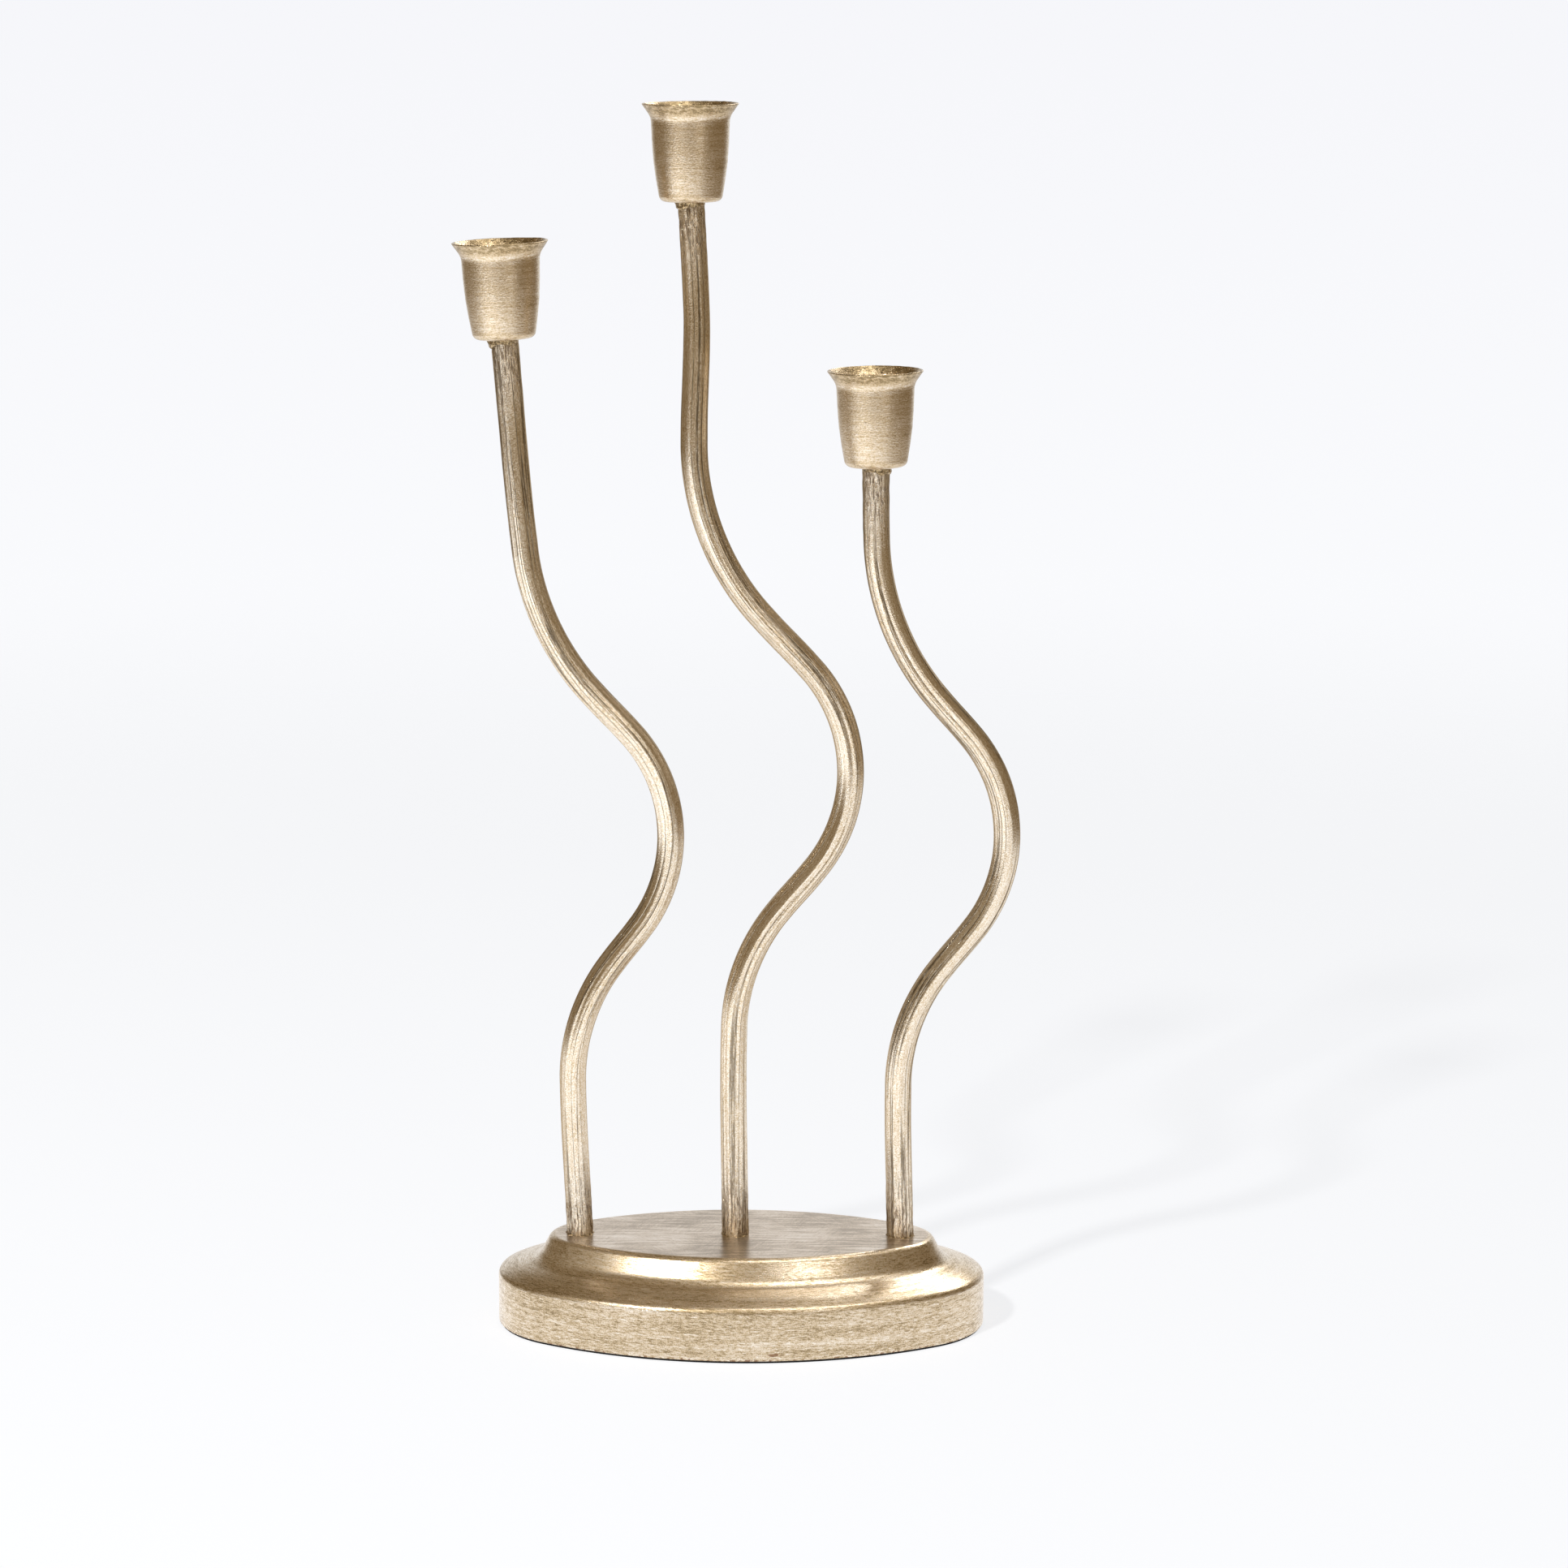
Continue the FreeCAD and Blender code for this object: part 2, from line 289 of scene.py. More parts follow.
floor_finish = bpy.data.materials.new("pale_sweep")
floor_finish.use_nodes = True
floor_tree = floor_finish.node_tree
floor_tree.nodes.remove(floor_tree.nodes["Principled BSDF"])
start = Signal(floor_tree)
seen, mirrored, cleared = ray_kinds(start)
shows = seen.math("MAXIMUM", seen, mirrored.math("MAXIMUM", mirrored, cleared))
spot = start.node("TexCoord", {}, {}, output="Object")
away = spot.vector("LENGTH", output="Value")
in_front = 1 - spot.parts()[1].ramp(*FRONT_START)
shift = start.node("CombineXYZ", {}, {0: in_front * PAPER_SHIFT[1] + PAPER_SHIFT[0]})
aside, ahead, _ = spot.vector("ADD", shift).vector("ABSOLUTE").parts()
on_paper = (1 - aside.ramp(*PAPER_SIDE)) * (1 - ahead.ramp(*PAPER_FRONT) * in_front)
# Painted pool of light: in the metal the floor glows brighter towards the main lamp's foot.
painted_key_pool = spot.vector("DISTANCE", KEY_PLACE, "Value") ** -KEY_FALL * KEY_PLACE.length**KEY_FALL
paper_light = on_paper * (1 - KEY_SHARE + painted_key_pool * KEY_SHARE) / BRIGHTEST
# Painted room: beyond the paper the floor glows a dim, warm room colour for the metal to see.
in_room = ahead.ramp(*ROOM_FRONT) * in_front * (1 - aside.ramp(*ROOM_SIDE))
past_paper = in_room.tint(dim_room, front_room)
mirror_light = paper_light.tint(past_paper, [BRIGHTEST * level for level in cool_white])
own = seen.tint(mirror_light, paper_glow)
shaded = shows.tint(paper, seen.tint(grey(0), grey(FLOOR_SHADE)))
lit = start.node("BsdfDiffuse", {}, {"Color": shaded})
glow = start.node("Emission", {}, {"Color": shows.tint(grey(0), own), "Strength": 1.0})
whole = start.node("AddShader", {}, {0: lit, 1: glow})
faded = start.node("BsdfTransparent", {}, {})
surface = start.node("MixShader", {}, {0: away.ramp(*FLOOR_FADE) * seen, 1: whole, 2: faded})
surface.into("Material Output", "Surface")
floor_mesh.materials.append(floor_finish)
print("floor finish:", floor_finish.name)

# %% Make the surroundings
WALL_LEAN = 0.10
WALL_EDGE = (0.0, 0.55)
WALL_TOP = (0.25, 0.55)
FRONT_EDGE = (0.1, 0.9)
FRONT_TOP = (0.35, 0.85)
HORIZON = (-0.25, 0.05)
plain_light = colour(0.22, 0.22, 0.225)
white = colour(0.965, 0.973, 0.99)
high_wall = colour(0.915, 0.918, 0.952)

world = bpy.data.worlds.new("studio")
world.use_nodes = True
bpy.context.scene.world = world
world_tree = world.node_tree
start = Signal(world_tree)
seen, mirrored, cleared = ray_kinds(start)
east, north, up = start.node("TexCoord", {}, {}, output="Generated").parts()
sideways = east - north * WALL_LEAN
off_centre = sideways.math("ABSOLUTE", sideways)
wall = (north - off_centre).ramp(*WALL_EDGE) * (1 - up.ramp(*WALL_TOP))
front = (0 - north).ramp(*FRONT_EDGE) * (1 - up.ramp(*FRONT_TOP))
studio = wall.tint(front.tint(dim_room, front_room), white)
wall_colour = up.ramp(*HORIZON).tint(white, high_wall)
room = mirrored.math("MAXIMUM", mirrored, cleared).tint(plain_light, studio)
seen.tint(room, wall_colour).into("Background", "Color")
print("world ready")

# %% [markdown]
# ## Lamps
# The stems' shadows on the floor point back to the one lamp that throws them: small, high and in front
# on the left. On polished metal a white panel shows as a bright band, so the other bands tell where the
# panels stood: two in front on the right, one behind and one overhead. The panels are hidden from dull
# surfaces, so they add bands to the metal and no shadows to the floor.


# %% Hang the softboxes
def softbox(name, place, width, height, power, panel=False):
    """An area lamp that is aimed at the middle of the object. A panel only shows in the metal."""
    lamp = bpy.data.lights.new(name, "AREA")
    lamp.shape = "RECTANGLE"
    lamp.size = width
    lamp.size_y = height
    lamp.energy = power
    holder = bpy.data.objects.new(name, lamp)
    holder.location = place
    aim = (cad_low + cad_high) / 2 - Vector(place)
    holder.rotation_euler = aim.to_track_quat("-Z", "Y").to_euler()
    holder.visible_camera = False
    holder.visible_diffuse = not panel
    bpy.context.scene.collection.objects.link(holder)
    return holder


softbox("key_lamp", KEY_PLACE, 0.18, 0.18, 25.0)
softbox("front_panel", (0.95, -1.7, 1.0), 0.36, 1.2, 2.4, panel=True)
softbox("right_panel", (0.80, -1.50, 1.60), 0.5, 0.5, 3.5, panel=True)
softbox("back_panel", (0.55, 1.10, 1.22), 0.7, 0.5, 6.5, panel=True)
softbox("top_panel", (0.34, -0.12, 1.67), 1.0, 0.7, 7.5, panel=True)
bpy.context.scene.view_settings.view_transform = "Standard"
print("lamps:", len(bpy.data.lights))

# %% [markdown]
# ## The colours of the finish
# The real finish is a dark brown undercoat with metallic gold dragged over it by brush. Where the brush
# was loaded the gold is pale, where it ran dry the undercoat darkens it to olive, and it is worn through
# in the crumbs and along edges. All the gilt pieces mix these same few colours. A clear varnish lies over
# it, thick on the plinth and thin on the cups and stems, and puts a soft second shine on the gold.

# %% Name the colours
CREAM_GOLD = colour(0.93, 0.86, 0.74)
PALE_GOLD = colour(0.78, 0.665, 0.51)
GOLD = colour(0.61, 0.468, 0.28)
OLIVE_GOLD = colour(0.30, 0.22, 0.112)
# Painted shade for the thin grooves along the stems.
PAINTED_GROOVE_SHADE = colour(0.12, 0.083, 0.040)
UNDERCOAT = colour(0.07, 0.046, 0.024)
STEM_CRACK = colour(0.16, 0.088, 0.03)
CHIPPED = colour(0.22, 0.085, 0.02)
# Painted sheen: these two taupes stand in for the pale wall's grazing reflection on the plinth's flat top.
PAINTED_SHEEN_PALE = colour(0.95, 0.83, 0.725)
PAINTED_SHEEN_DARK = colour(0.50, 0.415, 0.34)
EDGE_TINT = colour(0.42, 0.33, 0.22)
GILT_METAL = 0.97
VARNISH = {"coat_weight": 0.6, "coat_roughness": 0.26, "coat_ior": 1.6}
THIN_VARNISH = {**VARNISH, "coat_weight": 0.12}


def gilt_colour(load):
    """Gold by how much of it the brush left: 0 is a dry brush and 1 a full one."""
    shade = load.ramp(0.0, 0.45).tint(OLIVE_GOLD, GOLD)
    shade = load.ramp(0.30, 0.75).tint(shade, PALE_GOLD)
    return load.ramp(0.65, 1.05).tint(shade, CREAM_GOLD)


print("gilt colours named")

# %% [markdown]
# ## Gilt on the stems
# The stems were brushed lengthways, so the streaks follow every bend. A picture wrapped round the stem
# would need a seam, so each vertex instead remembers where it would be if the stem were straight. Noise
# that is stretched along that straight stem gives streaks with no seam. Near the foot and under the
# cup the gold lies thick and broken, like bark, so each vertex also knows how far it is from those ends.


# %% Stem finish
def stem_gilt():
    material, start = new_finish("stem_gilt", metallic=GILT_METAL, specular_tint=EDGE_TINT, **THIN_VARNISH)
    straight = mark_in_mm(start, "straight")
    from_end = length_in_mm(start, "from_end")
    clouds = straight.stretch(1, 1, 0.1).noise(0.12, 2.0, 0.5)
    veins = straight.stretch(1, 1, 0.012).noise(0.36, 1.0, 0.5) - 0.5
    hairs = straight.stretch(1, 1, 0.04).noise(2.2, 3.0, 0.65)
    dashes = straight.stretch(1, 1, 0.2).noise(2.8, 2.0, 0.6)
    specks = straight.noise(2.2, 3.0, 0.65)
    bark = straight.stretch(1, 1, 0.12).noise(1.7, 4.0, 0.68, 0.5)
    thick = 1 - from_end.ramp(6, 38)
    bare = ((bark - 0.5) * 2.8 + (dashes - 0.5) * 0.9 + thick * 0.3).ramp(0.24, 0.62) * thick
    # Painted shade: thin lines along the stem are bumped down and painted dark, as shade in their grooves.
    shaded_groove = (1 - veins.math("ABSOLUTE", veins).ramp(0.008, 0.045)) * hairs.ramp(0.36, 0.54)
    load = 0.74 + (hairs - 0.5) * 0.7 + (dashes - 0.5) * 0.9
    load = load + (specks - 0.5) * 2.0 + (clouds - 0.5) * 0.5
    # Near the ends the load rises a little: thick gold, and partly a painted highlight on the crust.
    gold = (shaded_groove * 0.8).tint(gilt_colour(load + thick * 0.12), PAINTED_GROOVE_SHADE)
    base = (bare * 0.85).tint(gold, STEM_CRACK)
    rough = 0.14 - (load - 0.5) * 0.04 + bare * 0.10
    height = hairs * 0.35 + dashes * 0.35 + specks * (0.45 + thick * 0.9) - shaded_groove * 0.8 - bare * 0.6
    feed(base_color=base, roughness=rough, normal=height.bump(0.11 * MM))
    return material


STEM_GILT = stem_gilt()
print("finish:", STEM_GILT.name)

# %% [markdown]
# ## The stems
# Each stem is a plain bar bent in one plane. Its middle line is read back from the construction model: a
# point of the round wall, moved inwards by the bar's radius along the surface normal, lands on that line,
# and the normal also gives its direction there. Smooth curve pieces join those points, and a ring of
# vertices is set square to the line at each short step. Drawn bar is never quite round, so long, faint
# ridges are pressed into the rings. They are what breaks the lamps' reflections into bands. The rings are
# a hair small, so that the ridges stay inside the construction model's box.

# %% Read a stem's middle line
STEM_RADIUS = 4.75 * MM
RING_STEP = 1.0 * MM


def wall_corners(node):
    """Places and normals of a node's face corners, as two arrays."""
    mesh = frame["nodes"][node].data
    places = np.zeros(3 * len(mesh.vertices))
    mesh.vertices.foreach_get("co", places)
    normals = np.zeros(3 * len(mesh.loops))
    mesh.corner_normals.foreach_get("vector", normals)
    vertex = np.zeros(len(mesh.loops), int)
    mesh.loops.foreach_get("vertex_index", vertex)
    return places.reshape(-1, 3)[vertex], normals.reshape(-1, 3)


def middle_line(node):
    """Points (x, z) and upward directions of a stem's middle line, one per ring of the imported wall."""
    places, normals = wall_corners(node)
    centres = places - STEM_RADIUS * normals
    sideways = np.abs(normals[:, 1])
    on_line = (np.abs(centres[:, 1]) < 0.01 * MM) & (sideways > 0.3) & (sideways < 0.95)
    points = centres[on_line][:, (0, 2)]
    across = normals[on_line][:, (0, 2)]
    ahead = np.stack([-across[:, 1], across[:, 0]], 1)
    ahead *= (np.sign(ahead[:, 1]) / np.linalg.norm(ahead, axis=1))[:, None]
    order = np.argsort(points[:, 1])
    points, ahead = points[order], ahead[order]
    fresh = np.concatenate([[True], np.diff(points[:, 1]) > 0.2 * MM])
    return points[fresh], ahead[fresh]


def even_line(points, ahead, step):
    """The same line as smooth curve pieces in even steps: points, directions and lengths so far."""
    fine, fine_ahead = [], []
    for start, end, d0, d1 in zip(points, points[1:], ahead, ahead[1:]):
        chord = np.linalg.norm(end - start)
        count = max(2, math.ceil(4 * chord / step))
        t = np.linspace(0, 1, count, endpoint=False)[:, None]
        fine.append((2 * t**3 - 3 * t**2 + 1) * start + (t**3 - 2 * t**2 + t) * chord * d0
                    + (3 * t**2 - 2 * t**3) * end + (t**3 - t**2) * chord * d1)
        fine_ahead.append((1 - t) * d0 + t * d1)
    fine = np.concatenate(fine + [points[-1:]])
    fine_ahead = np.concatenate(fine_ahead + [ahead[-1:]])
    length = np.concatenate([[0], np.cumsum(np.linalg.norm(np.diff(fine, axis=0), axis=1))])
    at = np.linspace(0, length[-1], math.ceil(length[-1] / step))
    line = np.stack([np.interp(at, length, fine[:, i]) for i in (0, 1)], 1)
    way = np.stack([np.interp(at, length, fine_ahead[:, i]) for i in (0, 1)], 1)
    way /= np.linalg.norm(way, axis=1)[:, None]
    return line.tolist(), way.tolist(), at.tolist()


stem_lines = {side: even_line(*middle_line(side + "_stem"), RING_STEP) for side in SIDES}
print("stem lengths in mm:", {side: round(1000 * stem_lines[side][2][-1], 1) for side in SIDES})

# %% Where each cup sits and where the stems leave the plinth
plateau_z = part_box("base_plinth")[1].z
cup_axes = {}
for mount in frame["record"]["mounts"]:
    if mount["name"].endswith("_candle_cup"):
        side = mount["name"].split("_")[0]
        axis = Vector(mount["axis"]).normalized()
        rim = Vector(mount["pos_m"])
        solid = frame["nodes"][side + "_cup"].data
        reach = min((vertex.co - rim).dot(axis) for vertex in solid.vertices)
        cup_axes[side] = (rim + reach * axis, axis)
        print(side, "cup seat in mm:", [round(1000 * value, 2) for value in cup_axes[side][0]])


# %% Helpers for round pieces
def make_object(name, vertices, faces, materials, attributes, inner_faces=()):
    """A smooth mesh object. Attributes are lists of one number or one vector per vertex."""
    mesh = bpy.data.meshes.new(name)
    mesh.from_pydata(vertices, [], faces)
    for key, values in attributes.items():
        values = np.asarray(values, np.float32)
        kind, field = ("FLOAT", "value") if values.ndim == 1 else ("FLOAT_VECTOR", "vector")
        mesh.attributes.new(key, kind, "POINT").data.foreach_set(field, values.ravel())
    mesh.polygons.foreach_set("use_smooth", [True] * len(mesh.polygons))
    for material in materials:
        mesh.materials.append(material)
    for index in inner_faces:
        mesh.polygons[index].material_index = 1
    made = bpy.data.objects.new(name, mesh)
    bpy.context.scene.collection.objects.link(made)
    return made


def ring_faces(rings, points, closed=False):
    """Quads that join each ring of points to the next one."""
    faces = []
    for i in range(rings if closed else rings - 1):
        here, there = i * points, (i + 1) % rings * points
        for j in range(points):
            k = (j + 1) % points
            faces.append((here + j, here + k, there + k, there + j))
    return faces


def end_caps(rings, points):
    """Flat faces that close the first and the last ring."""
    last = (rings - 1) * points
    return [list(range(points))[::-1], list(range(last, last + points))]


def stands_for(piece, slot, *nodes):
    """Puts a piece in the place of construction nodes and hides them. The slot argument is not used."""
    if nodes:
        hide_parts(*nodes)
    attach(piece, "root")
    return piece


def wander(angle, along, turns, length, seed):
    """Smooth noise round a piece and along it, from about -1 to 1, with no seam."""
    across = (turns * math.cos(angle) + 7 * seed, turns * math.sin(angle))
    return noise.noise(Vector((*across, along / length)))


print("helpers ready")

# %% Sweep the stems
RING_POINTS = 96
RIDGE_DEPTH = 0.42 * MM
RIDGE_EASE = 0.06 * MM
RIDGE_LENGTH = 160 * MM
DENT_DEPTH = 0.05 * MM
DENT_LENGTH = 14 * MM
CRUST_DEPTH = 0.26 * MM
CRUST_LENGTH = 3.2 * MM
CRUST_REACH = 28 * MM
STREAK_SHIFT = 0.7


def make_stem(side, seed):
    line, way, at = stem_lines[side]
    seat, axis = cup_axes[side]
    foot_at = next(along for (_, z), along in zip(line, at) if z > plateau_z)
    vertices, straight, from_end = [], [], []
    for (x, z), (dx, dz), along in zip(line, way, at):
        to_end = max(0, min(along - foot_at, at[-1] - along))
        crust = CRUST_DEPTH * max(0, 1 - to_end / CRUST_REACH)
        for j in range(RING_POINTS):
            angle = 2 * math.pi * j / RING_POINTS
            radius = STEM_RADIUS - RIDGE_EASE
            radius += RIDGE_DEPTH * wander(angle, along, 3.0, RIDGE_LENGTH, seed)
            radius += DENT_DEPTH * wander(angle, along, 1.1, DENT_LENGTH, seed + 3)
            radius += crust * wander(angle, along, 4.0, CRUST_LENGTH, seed + 5)
            out, back = radius * math.cos(angle), radius * math.sin(angle)
            place = Vector((x + out * dz, back, z - out * dx))
            above = (place - seat).dot(axis)
            if above > 0:
                place -= above / (dx * axis.x + dz * axis.z) * Vector((dx, 0, dz))
            vertices.append(place)
            straight.append((out, back, along + STREAK_SHIFT * seed))
            from_end.append(to_end)
    faces = ring_faces(len(line), RING_POINTS) + end_caps(len(line), RING_POINTS)
    marks = {"straight": straight, "from_end": from_end}
    stem = make_object(side + "_stem_bar", vertices, faces, [STEM_GILT], marks)
    return stands_for(stem, "gilt_stem", side + "_stem")


stems = [make_stem(side, seed) for seed, side in enumerate(SIDES)]
print("stem vertices:", [len(stem.data.vertices) for stem in stems])

# %% [markdown]
# ## Gilt on the cups
# The cups were painted while they turned, so the brush lines run round and round. Each vertex keeps its
# place in an upright cup, because the real cups lean a little. Noise that is squeezed along the cup's
# height gives thin level lines. Near the lip the gold is patchy, and inside it is mottled and dark.


# %% Cup finishes
def cup_gilt(name, patchy, depth):
    brushed = {"anisotropic": 0.5, "anisotropic_rotation": 0.25}
    material, start = new_finish(name, metallic=GILT_METAL, **brushed, **THIN_VARNISH)
    straight = mark_in_mm(start, "straight")
    height = straight.parts()[2]
    rings = straight.stretch(0.04, 0.04, 1).noise(0.55, 3.0, 0.6)
    lines = straight.stretch(0.08, 0.08, 1).noise(2.2, 3.0, 0.65)
    dashes = straight.stretch(0.3, 0.3, 1).noise(3.0, 2.0, 0.6)
    specks = straight.noise(1.9, 3.0, 0.65)
    patches = straight.stretch(1, 1, 1.6).noise(0.45, 3.0, 0.65, 0.4)
    flakes = straight.stretch(1, 1, 1.6).noise(0.8, 4.0, 0.68, 0.4)
    flare = height.ramp(28.5, 32.5)
    bare = ((flakes - 0.5) * 2.8 + patchy + flare * 0.12).ramp(0.42, 0.75)
    load = 0.54 + (rings - 0.5) * 0.6 + (lines - 0.5) * 0.9
    load = load + (dashes - 0.5) * 0.9 + (specks - 0.5) * 0.9
    load = load + (patches - 0.5) * (flare * 0.5 + patchy) * 2.4 - flare * 0.32
    base = (bare * 0.75).tint(gilt_colour(load), UNDERCOAT)
    rough = 0.25 - (load - 0.5) * 0.08 + bare * 0.15
    relief = lines * 0.35 + dashes * 0.35 + specks * 0.6 - bare * 0.5
    feed(base_color=base, roughness=rough, normal=relief.bump(depth))
    return material


CUP_GILT = cup_gilt("cup_gilt", 0.0, 0.14 * MM)
CUP_INSIDE = cup_gilt("cup_inside_gilt", 0.16, 0.19 * MM)
print("finishes:", CUP_GILT.name, CUP_INSIDE.name)

# %% [markdown]
# ## The cups
# A cup is spun from sheet, so it is a lathe shape: one outline turned round the axis. The outline's
# corners are rounded by arcs, and the inside is the same outline moved in by the wall. A spun lip is never
# quite true, so it wavers in height and width, with a ragged edge where paint has built up. It only
# wavers inwards and down, so that the cup stays as large as the construction model says.


# %% Outline of a cup
CUP_WALL = 1.0
CUP_CORNERS = [
    (3.0, 0.0, 0.0),
    (10.8, 0.0, 2.4),
    (13.1, 14.0, 100.0),
    (13.75, 29.0, 6.0),
    (17.0, 33.8, 0.0),
]
LIP_START = 29.0
LIP_END = 34.3
LIP_THINNING = 0.4
LINE_STEP = 0.7
ARC_STEP = math.radians(6)


def rounded_outline(corners):
    """Points and outward directions of an outline, each corner (radius, height, round) as an arc."""
    points, outward = [], []
    place = np.array(corners[0][:2])
    for i in range(1, len(corners)):
        corner = np.array(corners[i][:2])
        ahead = (corner - place) / np.linalg.norm(corner - place)
        out = np.array((ahead[1], -ahead[0]))
        bend = corners[i][2]
        turn = reach = 0.0
        if bend:
            after = np.array(corners[i + 1][:2]) - corner
            turn = math.atan2(ahead[0] * after[1] - ahead[1] * after[0], ahead @ after)
            reach = bend * math.tan(abs(turn) / 2)
        stop = corner - reach * ahead
        count = max(1, math.ceil(np.linalg.norm(stop - place) / LINE_STEP))
        for step in range(count):
            points.append(place + (stop - place) * step / count)
            outward.append(out)
        side = math.copysign(1.0, turn)
        centre = stop - side * bend * out
        arcs = math.ceil(abs(turn) / ARC_STEP)
        for step in range(arcs):
            c, s = math.cos(turn * step / arcs), math.sin(turn * step / arcs)
            spoke = np.array((c * out[0] - s * out[1], s * out[0] + c * out[1]))
            points.append(centre + side * bend * spoke)
            outward.append(spoke)
        c, s = math.cos(turn), math.sin(turn)
        place = centre + side * bend * np.array((c * out[0] - s * out[1], s * out[0] + c * out[1]))
    return np.array(points + [place]), np.array(outward + [out])


def cup_outline():
    """The outline from under the foot, over the lip and down inside, and where the inside starts."""
    outer, outward = rounded_outline(CUP_CORNERS)
    wall = CUP_WALL - LIP_THINNING * np.clip((outer[:, 1] - LIP_START) / (LIP_END - LIP_START), 0, 1)
    inner = outer - wall[:, None] * outward
    tip, out = (outer[-1] + inner[-1]) / 2, outward[-1]
    ahead = np.array((-out[1], out[0]))
    half = wall[-1] / 2
    back = np.hypot(*(outer - outer[-1]).T) > half
    lip = [tip - half * ahead + half * (math.cos(a) * out + math.sin(a) * ahead)
           for a in np.linspace(0, math.pi, 11)]
    outline = np.concatenate([outer[back], lip, inner[back][::-1]])
    return outline.tolist(), int(back.sum()) + len(lip) // 2


outline, inside_from = cup_outline()
print("cup outline points:", len(outline), "highest:", round(max(h for _, h in outline), 2), "mm")

# %% Turn the cups
CUP_POINTS = 120
LIP_WAVER = 0.22
LIP_SPREAD = 0.12
LIP_RAGGED = 0.10


def upright_to_cup(side):
    seat, axis = cup_axes[side]
    return Matrix.Translation(seat) @ Matrix.Rotation(math.atan2(axis.x, axis.z), 4, "Y")


def make_cup(side, seed):
    lean = upright_to_cup(side)
    vertices, straight = [], []
    for radius, height in outline:
        near_lip = min(1, max(0, (height - LIP_START) / (LIP_END - LIP_START))) ** 2
        for j in range(CUP_POINTS):
            angle = 2 * math.pi * j / CUP_POINTS
            spread = near_lip * LIP_SPREAD * (wander(angle, seed, 0.9, 1, seed + 11) - 0.6)
            drop = near_lip * LIP_WAVER * (wander(angle, seed, 0.7, 1, seed + 13) - 1)
            drop += near_lip**3 * LIP_RAGGED * (wander(angle, radius, 9.0, 0.6, seed + 17) - 1)
            r = radius + spread
            place = MM * Vector((r * math.cos(angle), r * math.sin(angle), height + drop))
            vertices.append(lean @ place)
            straight.append(place)
    faces = ring_faces(len(outline), CUP_POINTS) + end_caps(len(outline), CUP_POINTS)
    inner = list(range(inside_from * CUP_POINTS, len(faces) - 2)) + [len(faces) - 1]
    finishes = [CUP_GILT, CUP_INSIDE]
    marks = {"straight": straight}
    cup = make_object(side + "_cup_shell", vertices, faces, finishes, marks, inner)
    return stands_for(cup, "gilt_cup", side + "_cup")


cups = [make_cup(side, seed) for seed, side in enumerate(SIDES)]
print("cup vertices:", [len(cup.data.vertices) for cup in cups])

# %% [markdown]
# ## Brazed joints and crumbs of paint
# Under each cup a bead of braze holds it to the stem. It was run in by hand, so it is thick on one side
# and lumpy. Where a stem enters the plinth, paint has gathered in a thin crumbly ring. Both are closed
# rings whose outline changes with the angle, and both carry a thick, pitted coat of gold. That gold is
# painted dark, as shade under the cups, and the crumb rings share it.


# %% Crusty finish
def shaded_crust_gilt():
    material, start = new_finish("shaded_crust_gilt", metallic=GILT_METAL)
    place = mark_in_mm(start, "straight")
    lumps = place.noise(0.8, 3.0, 0.6)
    specks = place.noise(2.8, 2.0, 0.6)
    pits = ((place.noise(1.1, 3.0, 0.6, 0.5) - 0.5) * 2.4).ramp(-0.05, 0.45)
    # Painted shade: the low load darkens the crust, for the shade under the cups.
    load = 0.26 + (lumps - 0.5) * 1.2 + (specks - 0.5) * 0.9
    base = (pits * 0.8).tint(gilt_colour(load), UNDERCOAT)
    height = lumps * 1.0 + specks * 0.4 - pits * 0.7
    feed(base_color=base, roughness=0.24 + pits * 0.2, normal=height.bump(0.28 * MM))
    return material


SHADED_CRUST_GILT = shaded_crust_gilt()
print("finish:", SHADED_CRUST_GILT.name)

# %% A closed ring of any outline
BEAD_POINTS = 96


def make_ring(name, lean, shape, material):
    """A closed ring round the Z axis of a placing matrix. shape(angle) gives its outline there."""
    vertices, straight = [], []
    for j in range(BEAD_POINTS):
        angle = 2 * math.pi * j / BEAD_POINTS
        for radius, height in shape(angle):
            place = Vector((radius * math.cos(angle), radius * math.sin(angle), height))
            vertices.append(lean @ place)
            straight.append(place)
    points = len(vertices) // BEAD_POINTS
    faces = ring_faces(BEAD_POINTS, points, closed=True)
    return make_object(name, vertices, faces, [material], {"straight": straight})


print("points round a ring:", BEAD_POINTS)

# %% Run the beads and the crumbs
BEAD_STEPS = 14
BEAD_REACH = 0.95 * MM
BEAD_DROP = 3.2 * MM
BEAD_TUCK = 0.35 * MM
CRUMB_REACH = 0.75 * MM
CRUMB_RISE = 0.45 * MM


def bead_shape(heavy_angle, seed):
    def shape(angle):
        swell = 0.52 + 0.32 * math.cos(angle - heavy_angle)
        swell += 0.40 * wander(angle, seed, 1.6, 1, seed + 21)
        reach, drop = BEAD_REACH * max(0.22, swell), BEAD_DROP * max(0.5, swell)
        outline = [(STEM_RADIUS - BEAD_TUCK, 0.0)]
        for step in range(BEAD_STEPS + 1):
            turn = math.pi / 2 * step / BEAD_STEPS
            lump = 1 + 0.6 * wander(angle, step / BEAD_STEPS, 3.2, 0.3, seed + 23)
            outline.append((STEM_RADIUS + reach * math.cos(turn) * lump, -drop * math.sin(turn)))
        return outline + [(STEM_RADIUS - BEAD_TUCK, -drop)]
    return shape


def crumb_shape(seed):
    def shape(angle):
        swell = max(0.12, 0.55 + 0.8 * wander(angle, seed, 3.5, 1, seed + 31))
        reach, rise = CRUMB_REACH * swell, CRUMB_RISE * swell
        top = [(STEM_RADIUS - BEAD_TUCK, rise)]
        for step in range(BEAD_STEPS + 1):
            turn = math.pi / 2 * step / BEAD_STEPS
            top.append((STEM_RADIUS + reach * math.sin(turn), rise * math.cos(turn)))
        return (top + [(STEM_RADIUS - BEAD_TUCK, 0.0)])[::-1]
    return shape


